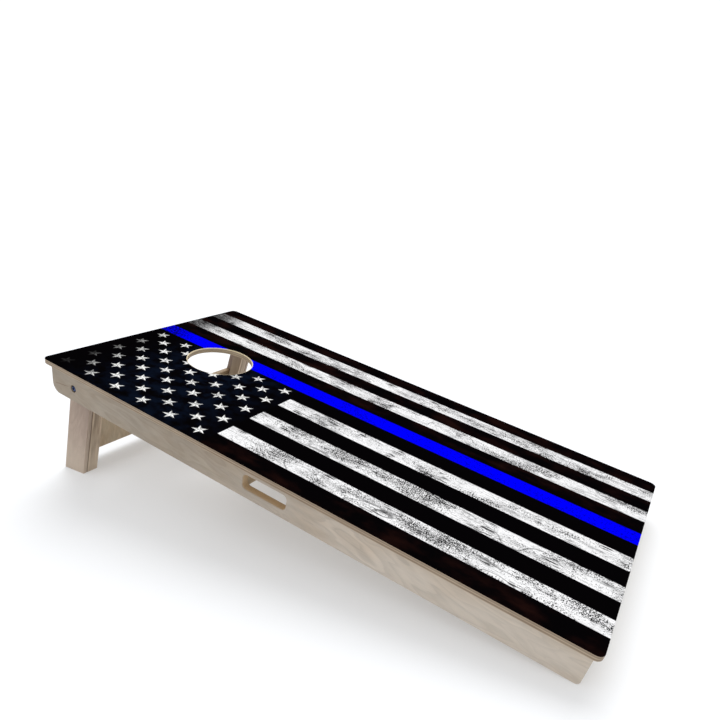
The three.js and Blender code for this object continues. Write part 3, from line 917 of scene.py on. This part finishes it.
def upright(name, node, s, outline, ease, glued, bore_radius=0, **wood):
    """A piece of a leg whose profile stands in the legs' YZ plane, grain up the leg, glued on one face."""
    low, high = extent(node, LEGS)
    outer = high.x if s > 0 else low.x
    depth = high.x - low.x
    place = standing(LEGS, (outer, 0, 0), (0, 0, 1), (s, 0, 0))
    flat = [Vector((p.y, -s * p.x)) for p in outline(low, high)]
    piece = make_object(name, slab_mesh(flat, [], eased(depth, ease)), place)
    if bore_radius:
        bore = bmesh.new()
        prism(bore, bore_radius, -depth - CUT_PAST, CUT_PAST, BORE_STEPS)
        carve(piece, [make_object("bore", bore, place)])
    surface, colour, roughness, height = plywood(name + "_wood", place, depth / MM, figure=0.7, **wood)
    # Painted light and shade: paler towards the foot, darker up under the deck
    colour = surface.mix(surface.x.fade(-105, -240) * 0.55, colour, FOOT_PAINTED_LIGHT)
    # Painted shade along the seam where board and batten meet
    seam_at = 0.0 if glued == "outer" else -depth / MM
    colour = surface.mix(abs(surface.z - seam_at).fade(2.2, 0.7) * 0.5, colour, SEAM_PAINTED_SHADE)
    material = surface.done(colour, roughness, height, WOOD_RELIEF)
    finished(piece, "leg_frame", material, [node])


def build_brace():
    low, high = extent("leg_brace", LEGS)
    depth = high.y - low.y
    place = standing(LEGS, (0, high.y, 0), (0, 0, 1), (0, 1, 0))
    outline = rectangle((low.z, low.x), (high.z, high.x))
    brace = make_object("brace_panel", slab_mesh(outline, [], eased(depth, BRACE_EASE)), place)
    carve(brace, pocket_cutters("leg_brace"))
    material = plain_plywood(
        "brace_plywood", place, depth=depth / MM, layers=7, seed=21.0, colours=BRACE_WOOD,
    )
    finished(brace, "leg_frame", material, ["leg_brace"])


def build_legs():
    for side, s in SIDES.items():
        upright(
            "leg_face_" + side, "leg_board_" + side, s, leg_board_outline, LEG_BOARD_EASE, "inner",
            bore_radius=BOLT_RADIUS + RUN_GAP, layers=7, seed=13.0 + s, colours=LEG_BOARD_SHADED_WOOD, layering=0.5,
        )
        upright(
            "leg_strip_" + side, "leg_batten_" + side, s, batten_outline, BATTEN_EASE, "outer",
            layers=5, seed=17.0 + s, colours=BATTEN_SHADED_WOOD, layering=0.35,
        )
    build_brace()


# ---------------------------------------------------------------- pivot hardware

BOLT_HEAD_HEIGHT = 4 * MM
BOLT_SOCKET_FLATS = 5 * MM
BOLT_SOCKET_DEPTH = 2.4 * MM
NUT_ACROSS_FLATS = 13 * MM


def along_x(node, s):
    """A turned piece's frame, with +z out of the board and its origin at the inner end, length and radius."""
    low, high = extent(node, BOARD)
    inner = low.x if s > 0 else high.x
    middle = (low + high) / 2
    place = standing(BOARD, (inner, middle.y, middle.z), (0, 1, 0), (s, 0, 0))
    return place, high.x - low.x, (high.y - low.y) / 2


def build_bolt(side, s, material):
    node = "pivot_bolt_" + side
    place, length, head = along_x(node, s)
    shank = BOLT_RADIUS
    seat = length - BOLT_HEAD_HEIGHT
    bm = bmesh.new()
    lathe(bm, [
        (0, 0), (shank - 0.9 * MM, 0), (shank, 0.9 * MM), (shank, seat - 0.4 * MM),
        (shank + 0.3 * MM, seat), (head - 0.3 * MM, seat), (head, seat + 0.3 * MM),
        (head, seat + 1.2 * MM), (head - 0.3 * MM, seat + 2.0 * MM), (head - 1.1 * MM, seat + 2.9 * MM),
        (head - 2.2 * MM, seat + 3.6 * MM), (head - 3.2 * MM, length - 0.1 * MM),
        (head - 3.7 * MM, length), (0, length),
    ], TURNED_STEPS)
    bolt = make_object("bolt_" + side, bm, place)
    corner = BOLT_SOCKET_FLATS / math.sqrt(3)
    floor = length - BOLT_SOCKET_DEPTH
    socket = bmesh.new()
    lathe(socket, [
        (0, floor - 0.5 * MM), (corner, floor), (corner, length + CUT_PAST), (0, length + CUT_PAST),
    ], 6)
    carve(bolt, [make_object("socket", socket, place)])
    finished(bolt, "board", material, [node])


def build_ring(name, node, s, material, ease):
    """A washer or spacer round the bolt, chamfered all round."""
    place, thickness, outer = along_x(node, s)
    inner = BOLT_RADIUS + RUN_GAP
    bm = bmesh.new()
    lathe(bm, [
        (inner, ease), (inner + ease, 0), (outer - ease, 0), (outer, ease), (outer, thickness - ease),
        (outer - ease, thickness), (inner + ease, thickness), (inner, thickness - ease), (inner, ease),
    ], TURNED_STEPS)
    finished(make_object(name, bm, place), "board", material, [node])


def build_nut(side, s, material):
    """A lock nut: a hexagon with its corners turned off, and a round collar on its inner end."""
    node = "pivot_nut_" + side
    place, height, _ = along_x(node, s)
    corner = NUT_ACROSS_FLATS / math.sqrt(3)
    hexagon = bmesh.new()
    prism(hexagon, corner, 0.45 * height, height, 6)
    nut = make_object("lock_nut_" + side, hexagon, place)
    envelope = bmesh.new()
    lathe(envelope, [
        (0, 0.4 * height), (corner - 0.7 * MM, 0.4 * height), (corner, 0.53 * height),
        (corner + 0.2 * MM, 0.9 * height), (corner - 0.8 * MM, height), (0, height),
    ], TURNED_STEPS)
    carve(nut, [make_object("envelope", envelope, place)], "INTERSECT")
    collar = bmesh.new()
    wide = NUT_ACROSS_FLATS / 2 - 0.3 * MM
    lathe(collar, [
        (0, 0), (5.0 * MM, 0), (5.5 * MM, 0.2 * MM), (wide, 0.24 * height),
        (wide, 0.47 * height), (0, 0.47 * height),
    ])
    carve(nut, [make_object("collar", collar, place)], "UNION")
    bore = bmesh.new()
    prism(bore, BOLT_RADIUS + RUN_GAP, -CUT_PAST, height + CUT_PAST, BORE_STEPS)
    carve(nut, [make_object("bore", bore, place)])
    finished(nut, "board", material, [node])


def build_hardware():
    axle = standing(LEGS, (0, 0, 0), (0, 1, 0), (1, 0, 0))
    blue_zinc = plated("blue_zinc_plate", axle, *BLUE_ZINC)
    zinc = plated("clear_zinc_plate", axle, *CLEAR_ZINC)
    yellow_zinc = plated("yellow_zinc_plate", BOARD, *YELLOW_ZINC)
    nylon = moulded_nylon("natural_nylon", BOARD, *NYLON)
    for side, s in SIDES.items():
        build_bolt(side, s, blue_zinc)
        build_ring("spacer_" + side, "pivot_spacer_" + side, s, nylon, SPACER_EASE)
        build_ring("washer_" + side, "pivot_washer_" + side, s, zinc, WASHER_EASE)
        build_nut(side, s, zinc)
    build_screws(yellow_zinc)


# ---------------------------------------------------------------- camera, floor and light

CAMERA_AT = (-1.0093, -0.6289, 0.6699)
CAMERA_TURN = (64.187, -1.675, -58.817)
LENS_MM = 29.205
LENS_SHIFT = (0.0071, 0.1326)
BACKDROP_RADIUS = 45
BACKDROP_GLOW = 1.05
FLOOR_REACH = BACKDROP_RADIUS + 5
FLOOR_GREYS = ((0.545, 0.56, 0.58, 1), (0.565, 0.58, 0.60, 1))
FLOOR_GLOW = 0.34
SKY_LOW = 0.34
SKY_HIGH = 1.02
KEY_STRENGTH = 2.1
KEY_FROM = (0.72, 0.22, 1.0)
KEY_ANGLE = math.radians(50)
WHITE = (1, 1, 1, 1)


def add_camera():
    camera = bpy.data.objects.new("camera", bpy.data.cameras.new("camera"))
    bpy.context.scene.collection.objects.link(camera)
    camera.location = CAMERA_AT
    camera.rotation_euler = [math.radians(a) for a in CAMERA_TURN]
    camera.data.sensor_width = 36
    camera.data.lens = LENS_MM
    camera.data.shift_x, camera.data.shift_y = LENS_SHIFT
    camera.data.clip_start = 0.01
    camera.data.clip_end = 500
    bpy.context.scene.camera = camera


def add_floor():
    """A pale floor out past the backdrop, lit a little from within, so that its shadows stay light."""
    bm = bmesh.new()
    bmesh.ops.create_grid(bm, x_segments=8, y_segments=8, size=FLOOR_REACH)
    floor = make_object("floor", bm, Matrix())
    s = Surface("floor_paint", Matrix())
    cloud = s.noise(s.x / 900, s.y / 900, 0.0, 3)
    colour = s.mix(cloud, *FLOOR_GREYS)
    s.shader.inputs["Specular IOR Level"].default_value = 0.0
    s.shader.inputs["Emission Color"].default_value = WHITE
    s.shader.inputs["Emission Strength"].default_value = FLOOR_GLOW
    floor.data.materials.append(s.done(colour, 0.9, cloud, FLOOR_RELIEF))


def add_backdrop():
    """A white surround that only the camera sees, so that the floor ends in plain white."""
    bm = bmesh.new()
    bmesh.ops.create_icosphere(bm, subdivisions=4, radius=BACKDROP_RADIUS)
    dome = make_object("backdrop", bm, Matrix())
    material = bpy.data.materials.new("backdrop_white")
    material.use_nodes = True
    shader = material.node_tree.nodes["Principled BSDF"]
    shader.inputs["Base Color"].default_value = (0, 0, 0, 1)
    shader.inputs["Emission Color"].default_value = WHITE
    shader.inputs["Emission Strength"].default_value = BACKDROP_GLOW
    dome.data.materials.append(material)
    dome.visible_diffuse = dome.visible_glossy = dome.visible_transmission = False
    dome.visible_volume_scatter = dome.visible_shadow = False


def add_light():
    """White light from all round, strongest from overhead, and a very soft key from the far side."""
    world = bpy.data.worlds.new("studio")
    world.use_nodes = True
    tree = world.node_tree
    split = tree.nodes.new("ShaderNodeSeparateXYZ")
    feed(split.inputs[0], tree.nodes.new("ShaderNodeTexCoord").outputs["Generated"])
    height = Value(split.outputs["Z"])
    background = tree.nodes["Background"]
    background.inputs["Color"].default_value = WHITE
    feed(background.inputs["Strength"], SKY_LOW + (SKY_HIGH - SKY_LOW) * height.fade(0.0, 0.9))
    bpy.context.scene.world = world
    key = bpy.data.lights.new("key", "SUN")
    key.energy = KEY_STRENGTH
    key.angle = KEY_ANGLE
    sun = bpy.data.objects.new("key", key)
    bpy.context.scene.collection.objects.link(sun)
    sun.rotation_euler = Vector(KEY_FROM).to_track_quat("Z", "Y").to_euler()
    bpy.context.scene.view_settings.view_transform = "Standard"


add_camera()
add_floor()
add_backdrop()
add_light()
build_deck()
build_side_rails()
build_cross_rails()
build_legs()
build_hardware()
